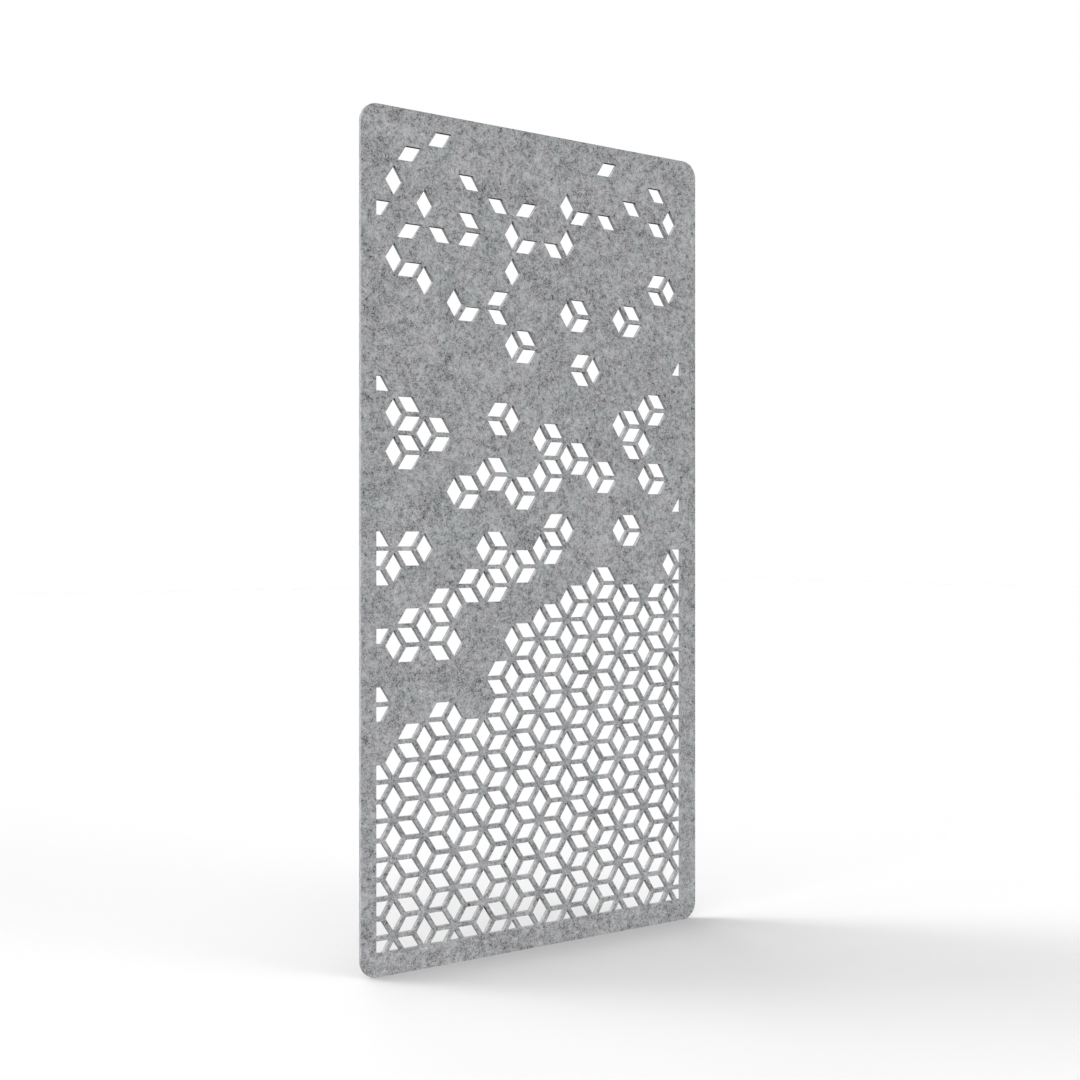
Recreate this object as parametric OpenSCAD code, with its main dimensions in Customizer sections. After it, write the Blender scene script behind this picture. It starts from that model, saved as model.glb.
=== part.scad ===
// Hanging room divider: one board of stiff pressed felt, cut right through with
// lozenges. They follow a tumbling-block lattice, which is whole at the foot and thins
// out upwards into single blocks and single lozenges.
// The origin is the middle of the top edge, by which the board hangs. +Z is up, and
// the front face looks to -Y.

/* [Board] */
// Width of the board
board_w = 1200; // [600:10:1800]
// Height of the board
board_h = 2400; // [1200:10:3000]
// Thickness of the felt
board_t = 12; // [6:1:24]
// Radius of the four corners
corner_r = 50; // [5:1:100]

/* [Plain border] */
// Felt left plain at the left edge
border_left = 47; // [30:1:150]
// Felt left plain at the right edge
border_right = 59; // [30:1:150]
// Felt left plain at the foot
border_foot = 65; // [30:1:150]
// Felt left plain at the head
border_head = 45; // [30:1:150]

/* [Lattice] */
// Length of the sides of a lozenge, from web middle to web middle
side = 64; // [60:0.5:90]
// Distance between the upright lozenges of one column
row_step = 107.2; // [80:0.1:118]
// Width of the felt web between two lozenges
web = 12.2; // [5:0.1:20]
// Distance from the left edge to the first column
first_column = 103; // [60:1:140]
// Lowest lattice point of the first column, counted from the foot
first_row = -2; // [-50:1:50]

/* [Hidden] */

// The lattice is drawn on lines half a column apart. Odd lines hold the upright
// lozenges and even lines the leaning ones, and each line counts its lozenges in steps
// from the foot. Below, line by line from the left edge: the last step that is cut
// without a gap, then the steps of the lozenges that are cut above it. On a board wider
// than the list, the list starts again.
LAYOUT = [
    [10, [13, 14, 17, 20, 21, 22, 30, 39]],
    [5, [8, 10, 13, 14, 18, 20]],
    [12, [16, 17, 18, 21, 22, 26, 27, 28, 29, 36, 38, 42]],
    [5, [8, 10, 13, 17, 19]],
    [13, [16, 17, 18, 19, 27, 28, 38, 43]],
    [6, [8, 9, 12, 17]],
    [12, [19, 20, 24, 25, 34, 38, 39, 41]],
    [5, [9, 10, 12]],
    [15, [19, 20, 21, 22, 25, 26, 28, 29, 34, 35, 40]],
    [8, [10, 12, 14, 16, 18, 19]],
    [17, [20, 21, 24, 25, 32, 33, 38, 40]],
    [8, [10, 12, 13]],
    [18, [21, 22, 23, 25, 26, 27, 28, 38]],
    [9, [11, 13, 17, 19, 20]],
    [19, [26, 27, 31, 32, 34, 35, 40]],
    [9, [12, 15]],
    [20, [25, 26, 40, 43]],
    [9, [11, 14, 17]],
    [19, [22, 23, 27, 28, 29, 34, 35, 41]],
    [8, [12, 13, 14]],
    [19, [25, 26, 29, 30, 36, 37, 40, 42]],
    [10, [18, 20]],
    [21, [24, 32]],
    [8, [10, 13, 16]]
];

// All the sides are equally long: level ones and ones that climb by half a row
slant = sqrt(side * side - row_step * row_step / 4);
level = [side, 0];
up_right = [slant, row_step / 2];
up_left = [-slant, row_step / 2];
line_step = (side + slant) / 2;
// Lines needed to reach the right-hand border
lines = ceil((board_w - border_right - first_column + side) / line_step) + 1;

// Centre of the lozenge at a step of a line, from the lower left corner of the board
function centre(line, step) = [
    first_column + (line - 1) * line_step,
    first_row + row_step * (
        line % 2 == 1
            ? step + 0.5 + (line - 1) / 2 % 2 / 2
            : step / 2 + 0.25
    )
];

function cut_steps(row) = concat([for (step = [0 : row[0]]) step], row[1]);

// Lattice cell with sides p and q, drawn in by half a web all round
module lozenge(p, q) {
    cell_area = abs(p.x * q.y - p.y * q.x);
    a = p * (0.5 - web / 2 * norm(q) / cell_area);
    b = q * (0.5 - web / 2 * norm(p) / cell_area);
    polygon([a + b, b - a, -a - b, a - b]);
}

module lozenge_at(line, step) {
    translate(centre(line, step))
        if (line % 2 == 1) lozenge(up_right, up_left);
        else if ((line / 2 + step) % 2 == 1) lozenge(level, up_right);
        else lozenge(level, up_left);
}

module cut_outs() {
    intersection() {
        translate([border_left, border_foot])
            square([
                board_w - border_left - border_right,
                board_h - border_foot - border_head
            ]);
        for (line = [0 : lines - 1], step = cut_steps(LAYOUT[line % len(LAYOUT)]))
            lozenge_at(line, step);
    }
}

module outline() {
    translate([corner_r, 0]) square([board_w - 2 * corner_r, board_h]);
    translate([0, corner_r]) square([board_w, board_h - 2 * corner_r]);
    for (x = [corner_r, board_w - corner_r], y = [corner_r, board_h - corner_r])
        translate([x, y]) circle(corner_r, $fn = 128);
}

module felt_panel() {
    color("#9b9c9e")
        translate([-board_w / 2, board_t / 2, -board_h])
            rotate([90, 0, 0])
                linear_extrude(board_t)
                    difference() {
                        outline();
                        cut_outs();
                    }
}

felt_panel();
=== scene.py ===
import math
import bpy
import bmesh
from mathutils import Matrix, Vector


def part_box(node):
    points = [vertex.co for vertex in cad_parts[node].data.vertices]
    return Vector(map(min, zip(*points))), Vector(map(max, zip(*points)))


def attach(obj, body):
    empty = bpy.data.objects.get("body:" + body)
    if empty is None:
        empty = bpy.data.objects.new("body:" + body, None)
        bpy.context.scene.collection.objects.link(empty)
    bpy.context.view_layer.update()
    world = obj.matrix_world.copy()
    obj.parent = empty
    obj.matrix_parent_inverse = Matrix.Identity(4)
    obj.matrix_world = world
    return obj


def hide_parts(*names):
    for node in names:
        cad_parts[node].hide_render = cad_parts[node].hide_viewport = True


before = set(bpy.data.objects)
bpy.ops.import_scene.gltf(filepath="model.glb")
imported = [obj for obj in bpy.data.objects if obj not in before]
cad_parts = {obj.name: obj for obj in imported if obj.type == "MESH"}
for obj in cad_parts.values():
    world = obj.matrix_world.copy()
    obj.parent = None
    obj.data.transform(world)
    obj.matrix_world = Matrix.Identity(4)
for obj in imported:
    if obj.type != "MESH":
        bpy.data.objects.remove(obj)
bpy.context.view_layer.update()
mm = 0.001

# the panel hangs from its top edge, at height 0, and its foot is at the floor
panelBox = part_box("felt_panel")
floorHeight = panelBox[0].z
frontFace = panelBox[0].y


def hexColour(code):  # sRGB hex to linear
    channels = [int(code[i:i + 2], 16) / 255 for i in (1, 3, 5)]
    linear = [c / 12.92 if c <= 0.04045 else ((c + 0.055) / 1.055) ** 2.4 for c in channels]
    return (*linear, 1.0)


def addNode(tree, kind, settings=None, links=None):
    # settings name the node's attributes, which come first because they can change its
    # sockets, or its sockets by name or number
    node = tree.nodes.new(kind)
    for name, value in (settings or {}).items():
        if not isinstance(name, int) and hasattr(node, name):
            setattr(node, name, value)
    for name, value in (settings or {}).items():
        if isinstance(name, int) or not hasattr(node, name):
            node.inputs[name].default_value = value
    for name, source in (links or {}).items():
        tree.links.new(source, node.inputs[name])
    return node


def placeObject(name, data):
    thing = bpy.data.objects.new(name, data)
    bpy.context.scene.collection.objects.link(thing)
    return thing


# the view looks level, from the left of the front, through a normal lens
cameraSet = {
    "lens": 50.0,                  # mm
    "sensor": 36.0,                # mm
    "turn": math.radians(35.1),    # away from straight at the front
    "distance": 4.431,             # m to the front face
    "aside": -0.0043,              # m, where the view meets the front face, from its middle
    "eyeHeight": 1.201,            # m above the floor
    "clip": (0.05, 200.0),         # m
}


def makeCamera(s):
    data = bpy.data.cameras.new("camera")
    data.lens = s["lens"]
    data.sensor_width = s["sensor"]
    data.clip_start, data.clip_end = s["clip"]
    camera = placeObject("camera", data)
    forward = Vector((math.sin(s["turn"]), math.cos(s["turn"]), 0))
    target = Vector((s["aside"], frontFace, floorHeight + s["eyeHeight"]))
    camera.location = target - forward * s["distance"]
    camera.rotation_euler = forward.to_track_quat("-Z", "Y").to_euler()
    bpy.context.scene.camera = camera


makeCamera(cameraSet)
print("camera made")


boardSet = {
    "rimRound": 0.3 * mm,    # rims softened a little by handling
    "rimSegments": 2,
    "mergeGap": 0.01 * mm,
    "flatAngle": math.radians(1),     # triangles that meet within it become one face
    "wallAngle": math.radians(84),    # a cut wall is turned at least this far from the front
}


def isWall(face, s):
    return abs(face.normal.y) < math.cos(s["wallAngle"])


def isRim(edge, s):  # between a face of the board and a cut wall
    return sum(isWall(face, s) for face in edge.link_faces) == 1


def makeBoard(s):
    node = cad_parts["felt_panel"]
    bm = bmesh.new()
    bm.from_mesh(node.data)
    bmesh.ops.remove_doubles(bm, verts=bm.verts, dist=s["mergeGap"])
    bmesh.ops.dissolve_limit(bm, angle_limit=s["flatAngle"], verts=bm.verts, edges=bm.edges)
    rims = [edge for edge in bm.edges if isRim(edge, s)]
    bmesh.ops.bevel(
        bm, geom=rims, offset=s["rimRound"], offset_type="OFFSET", affect="EDGES",
        segments=s["rimSegments"], profile=0.5, material=-1, clamp_overlap=True,
    )
    for face in bm.faces:
        face.material_index = 1 if isWall(face, s) else 0
    mesh = bpy.data.meshes.new("feltBoard")
    bm.to_mesh(mesh)
    bm.free()
    board = placeObject("feltBoard", mesh)
    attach(board, "root")
    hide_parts("felt_panel")
    board.visible_diffuse = False    # the cut walls throw no light on each other
    return board


board = makeBoard(boardSet)
print("board made:", len(board.data.polygons), "faces")


# Polyester felt, needle-punched from dyed and undyed fibres and pressed to a board: a matt,
# mottled grey with clouds where the fibres mixed unevenly. Where the dark fibre gathers, the
# grain is rougher and has dark flecks, and short curved strands lie over it all.
feltSet = {
    "dark": "#3b3c3e",
    "light": ("#ced2d3", "#d4d2d6"),    # undyed fibre from two lots, one greener, one pinker
    "lotSize": 45.0,               # mm
    "lotDetail": 2.0,
    "lotRange": (0.35, 0.65),      # how much the two lots mix
    "level": 0.515,                # share of light fibre
    "squeeze": 2.5,                # the fibres lie flat, so the pattern is finer through the board
    "warp": 0.6,                   # how far clouds, tufts and grain are pulled about
    "cloudSize": 95.0,             # mm
    "cloudDetail": 3.0,
    "cloudRough": 0.6,
    "cloudGain": 0.44,
    "tuftSize": 17.0,              # mm
    "tuftDetail": 2.0,
    "tuftRough": 0.7,
    "tuftGain": 0.93,
    "grainSize": 4.5,              # mm, drawn as coarse as shows, for single fibres are far finer
    "grainDetail": 1.0,
    "grainRough": 0.7,
    "grainGain": 0.80,
    "busy": (1.6, 0.6),            # how rough the grain is among dark fibre and among light
    "busyRange": 0.2,
    "strandSpace": 15.0,           # mm
    "strandDetail": 1.0,
    "strandRough": 0.4,
    "strandWarp": 1.2,
    "breakDetail": 0.0,
    "strandWidth": 0.035,          # share of the noise's span
    "strandBreak": (0.45, 0.6),    # of a second noise, where strands end
    "strandGain": (-0.28, 0.196),    # dark ones and light ones
    "fleckSize": 7.0,              # mm
    "fleckDetail": 1.0,
    "fleckRough": 0.6,
    "fleckWarp": 2.0,
    "fleckRange": (0.55, 0.75),
    "fleckGain": 0.40,
    "roughness": (0.90, 0.98),
    "specular": 0.2,
    "sheen": 0.15,                 # the fuzz of fibre ends
    "sheenRough": 0.5,
    "reliefSize": 0.9,             # mm
    "reliefDetail": 2.0,
    "reliefRough": 0.6,
    "reliefWarp": 1.0,
    "relief": 0.25,                # mm
    "reliefGain": 0.5,
}
# On the knife's cut the layers of pressed fibre show their ends, finely striped along the cut.
# its share of light fibre is a little below the face's: painted shade that darkens the cut walls
# slightly
cutSet = dict(feltSet, level=0.51, squeeze=6.0, cloudGain=0.30, sheen=0.05)
# Where each noise is taken from. Any other numbers give another piece of the same felt.
seedSet = {
    "cloud": 0.0, "tuft": 3.1, "grain": 7.7, "strands": (11.0, 15.0), "strandBreak": 1.7,
    "fleck": 21.3, "lot": 31.0,
}


def gatherFibre(tree, s, place):
    # clouds and tufts of darker and lighter fibre, with a grain that is roughest in the dark
    gathered = None
    for name in ("cloud", "tuft"):
        noise = addNode(tree, "ShaderNodeTexNoise", {
            "noise_dimensions": "4D", "W": seedSet[name], "Scale": 1 / (s[name + "Size"] * mm),
            "Detail": s[name + "Detail"], "Roughness": s[name + "Rough"], "Distortion": s["warp"],
        }, {"Vector": place})
        add = addNode(tree, "ShaderNodeMath", {
            "operation": "MULTIPLY_ADD", 1: s[name + "Gain"],
            2: s["level"] - (s["cloudGain"] + s["tuftGain"]) / 2,
        }, {0: noise.outputs["Fac"]})
        if gathered:
            tree.links.new(gathered, add.inputs[2])
        gathered = add.outputs[0]
    busy = addNode(tree, "ShaderNodeMapRange", {
        "From Min": s["level"] - s["busyRange"], "From Max": s["level"] + s["busyRange"],
        "To Min": s["busy"][0], "To Max": s["busy"][1],
    }, {"Value": gathered}).outputs["Result"]
    noise = addNode(tree, "ShaderNodeTexNoise", {
        "noise_dimensions": "4D", "W": seedSet["grain"], "Scale": 1 / (s["grainSize"] * mm),
        "Detail": s["grainDetail"], "Roughness": s["grainRough"], "Distortion": s["warp"],
    }, {"Vector": place})
    grain = addNode(tree, "ShaderNodeMath", {
        "operation": "MULTIPLY_ADD", 1: s["grainGain"], 2: -s["grainGain"] / 2,
    }, {0: noise.outputs["Fac"]})
    tone = addNode(tree, "ShaderNodeMath", {"operation": "MULTIPLY_ADD"},
                   {0: grain.outputs[0], 1: busy, 2: gathered})
    return tone.outputs[0], busy


def addStrands(tree, s, place, tone, seed, gain):
    # thin lines where a warped noise crosses its middle, broken into short stretches by another
    scale = 1 / (s["strandSpace"] * mm)
    noise = addNode(tree, "ShaderNodeTexNoise", {
        "noise_dimensions": "4D", "W": seed, "Scale": scale, "Detail": s["strandDetail"],
        "Roughness": s["strandRough"], "Distortion": s["strandWarp"],
    }, {"Vector": place})
    away = addNode(tree, "ShaderNodeMath", {"operation": "SUBTRACT", 1: 0.5},
                   {0: noise.outputs["Fac"]})
    near = addNode(tree, "ShaderNodeMath", {"operation": "ABSOLUTE"}, {0: away.outputs[0]})
    line = addNode(tree, "ShaderNodeMapRange", {
        "interpolation_type": "SMOOTHSTEP", "From Min": 0.0, "From Max": s["strandWidth"],
        "To Min": 1.0, "To Max": 0.0,
    }, {"Value": near.outputs[0]})
    gap = addNode(tree, "ShaderNodeTexNoise", {
        "noise_dimensions": "4D", "W": seed + seedSet["strandBreak"], "Scale": scale,
        "Detail": s["breakDetail"],
    }, {"Vector": place})
    kept = addNode(tree, "ShaderNodeMapRange", {
        "interpolation_type": "SMOOTHSTEP",
        "From Min": s["strandBreak"][0], "From Max": s["strandBreak"][1],
    }, {"Value": gap.outputs["Fac"]})
    strand = addNode(tree, "ShaderNodeMath", {"operation": "MULTIPLY"},
                     {0: line.outputs["Result"], 1: kept.outputs["Result"]})
    add = addNode(tree, "ShaderNodeMath", {"operation": "MULTIPLY_ADD", 1: gain},
                  {0: strand.outputs[0], 2: tone})
    return add.outputs[0]


def addFlecks(tree, s, place, tone, busy):
    noise = addNode(tree, "ShaderNodeTexNoise", {
        "noise_dimensions": "4D", "W": seedSet["fleck"], "Scale": 1 / (s["fleckSize"] * mm),
        "Detail": s["fleckDetail"], "Roughness": s["fleckRough"], "Distortion": s["fleckWarp"],
    }, {"Vector": place})
    fleck = addNode(tree, "ShaderNodeMapRange", {
        "interpolation_type": "SMOOTHSTEP", "From Min": s["fleckRange"][0],
        "From Max": s["fleckRange"][1], "To Max": -s["fleckGain"],
    }, {"Value": noise.outputs["Fac"]})
    add = addNode(tree, "ShaderNodeMath", {"operation": "MULTIPLY_ADD"},
                  {0: fleck.outputs["Result"], 1: busy, 2: tone})
    return add.outputs[0]


def mixFibre(tree, s, place, tone):
    # dark and light fibre by the tone, where the light is from one lot or the other
    lot = addNode(tree, "ShaderNodeTexNoise", {
        "noise_dimensions": "4D", "W": seedSet["lot"], "Scale": 1 / (s["lotSize"] * mm),
        "Detail": s["lotDetail"],
    }, {"Vector": place})
    shade = addNode(tree, "ShaderNodeMapRange", {
        "From Min": s["lotRange"][0], "From Max": s["lotRange"][1],
    }, {"Value": lot.outputs["Fac"]})
    light = addNode(tree, "ShaderNodeMix", {
        "data_type": "RGBA", 6: hexColour(s["light"][0]), 7: hexColour(s["light"][1]),
    }, {0: shade.outputs["Result"]})
    colour = addNode(tree, "ShaderNodeMix", {
        "data_type": "RGBA", "clamp_factor": True, 6: hexColour(s["dark"]),
    }, {0: tone, 7: light.outputs[2]})
    return colour.outputs[2]


def raiseFibre(tree, s, place, tone):
    fibre = addNode(tree, "ShaderNodeTexNoise", {
        "Scale": 1 / (s["reliefSize"] * mm), "Detail": s["reliefDetail"],
        "Roughness": s["reliefRough"], "Distortion": s["reliefWarp"],
    }, {"Vector": place})
    height = addNode(tree, "ShaderNodeMath", {"operation": "ADD"},
                     {0: fibre.outputs["Fac"], 1: tone})
    bump = addNode(tree, "ShaderNodeBump", {
        "Strength": s["reliefGain"], "Distance": s["relief"] * mm,
    }, {"Height": height.outputs[0]})
    return bump.outputs["Normal"]


def makeFelt(name, s):
    material = bpy.data.materials.new(name)
    material.use_nodes = True
    tree = material.node_tree
    where = addNode(tree, "ShaderNodeTexCoord")
    place = addNode(tree, "ShaderNodeMapping", {"Scale": (1, s["squeeze"], 1)},
                    {"Vector": where.outputs["Object"]}).outputs[0]
    tone, busy = gatherFibre(tree, s, place)
    for seed, gain in zip(seedSet["strands"], s["strandGain"]):
        tone = addStrands(tree, s, place, tone, seed, gain)
    tone = addFlecks(tree, s, place, tone, busy)
    rough = addNode(tree, "ShaderNodeMapRange", {
        "To Min": s["roughness"][1], "To Max": s["roughness"][0],
    }, {"Value": tone})
    shader = tree.nodes["Principled BSDF"]
    tree.links.new(mixFibre(tree, s, place, tone), shader.inputs["Base Color"])
    tree.links.new(rough.outputs["Result"], shader.inputs["Roughness"])
    tree.links.new(raiseFibre(tree, s, place, tone), shader.inputs["Normal"])
    shader.inputs["Specular IOR Level"].default_value = s["specular"]
    shader.inputs["Sheen Weight"].default_value = s["sheen"]
    shader.inputs["Sheen Roughness"].default_value = s["sheenRough"]
    return material


board.data.materials.append(makeFelt("needlePunchedPolyesterFelt", feltSet))
board.data.materials.append(makeFelt("knifeCutFeltEdge", cutSet))
print("materials made")


studioSet = {
    "floorHalf": 30.0,       # m
    "floorColour": "#d5d5d5",
    "floorRough": 1.0,
    "floorSpecular": 0.0,
    "backdrop": 1.0,         # as bright as paper white
    "dome": 0.02,            # even light from above
    "under": 0.0,            # and from below
    "horizon": 0.02,         # half the height of the band where the two meet
    "lampFar": 5.0,          # m, where the lamps stand, which changes nothing in their light
}
# soft lamps stand round the panel; bearings are turned from its right-hand side to its back
lampSet = {  # bearing, height and width in degrees, strength in W per square metre
    "keyLamp": (135, 16, 30, 3.7),
    "highLamp": (120, 50, 30, 0.6),
    "topLamp": (200, 75, 60, 2.25),
    "fillLamp": (300, 8, 30, 2.95),
    "rimLamp": (75, 15, 30, 1.5),
    "edgeLamp": (183, 10, 30, 1.1),
}


def makeFloor(s):
    bm = bmesh.new()
    bmesh.ops.create_grid(bm, x_segments=1, y_segments=1, size=s["floorHalf"])
    bmesh.ops.translate(bm, vec=(0, 0, floorHeight), verts=bm.verts)
    mesh = bpy.data.meshes.new("studioFloor")
    bm.to_mesh(mesh)
    bm.free()
    floor = placeObject("studioFloor", mesh)
    # board painted white and mat: no gloss at all, so only soft shadows show on it
    material = bpy.data.materials.new("matWhiteBoard")
    material.use_nodes = True
    shader = material.node_tree.nodes["Principled BSDF"]
    shader.inputs["Base Color"].default_value = hexColour(s["floorColour"])
    shader.inputs["Roughness"].default_value = s["floorRough"]
    shader.inputs["Specular IOR Level"].default_value = s["floorSpecular"]
    mesh.materials.append(material)
    floor.visible_diffuse = False    # it throws no light up, as in the photograph
    floor.visible_glossy = False
    floor.visible_shadow = False


def makeSky(s):
    world = bpy.data.worlds.new("studio")
    world.use_nodes = True
    bpy.context.scene.world = world
    tree = world.node_tree
    where = addNode(tree, "ShaderNodeTexCoord")
    height = addNode(tree, "ShaderNodeSeparateXYZ", {}, {"Vector": where.outputs["Generated"]})
    light = addNode(tree, "ShaderNodeMapRange", {
        "From Min": -s["horizon"], "From Max": s["horizon"],
        "To Min": s["under"], "To Max": s["dome"],
    }, {"Value": height.outputs["Z"]})
    path = addNode(tree, "ShaderNodeLightPath")
    seen = addNode(tree, "ShaderNodeMix", {"data_type": "FLOAT", 3: s["backdrop"]},
                   {0: path.outputs["Is Camera Ray"], 2: light.outputs["Result"]})
    tree.links.new(seen.outputs[0], tree.nodes["Background"].inputs["Strength"])
    tree.nodes["Background"].inputs["Color"].default_value = (1, 1, 1, 1)


def makeLamps(lamps, far):
    for name, (bearing, height, width, strength) in lamps.items():
        data = bpy.data.lights.new(name, "SUN")
        data.energy = strength
        data.angle = math.radians(width)
        lamp = placeObject(name, data)
        a, h = math.radians(bearing), math.radians(height)
        toLamp = Vector((math.cos(a) * math.cos(h), math.sin(a) * math.cos(h), math.sin(h)))
        lamp.rotation_euler = toLamp.to_track_quat("Z", "Y").to_euler()
        lamp.location = toLamp * far


makeFloor(studioSet)
makeSky(studioSet)
makeLamps(lampSet, studioSet["lampFar"])
bpy.context.scene.view_settings.view_transform = "Standard"
print("studio made")
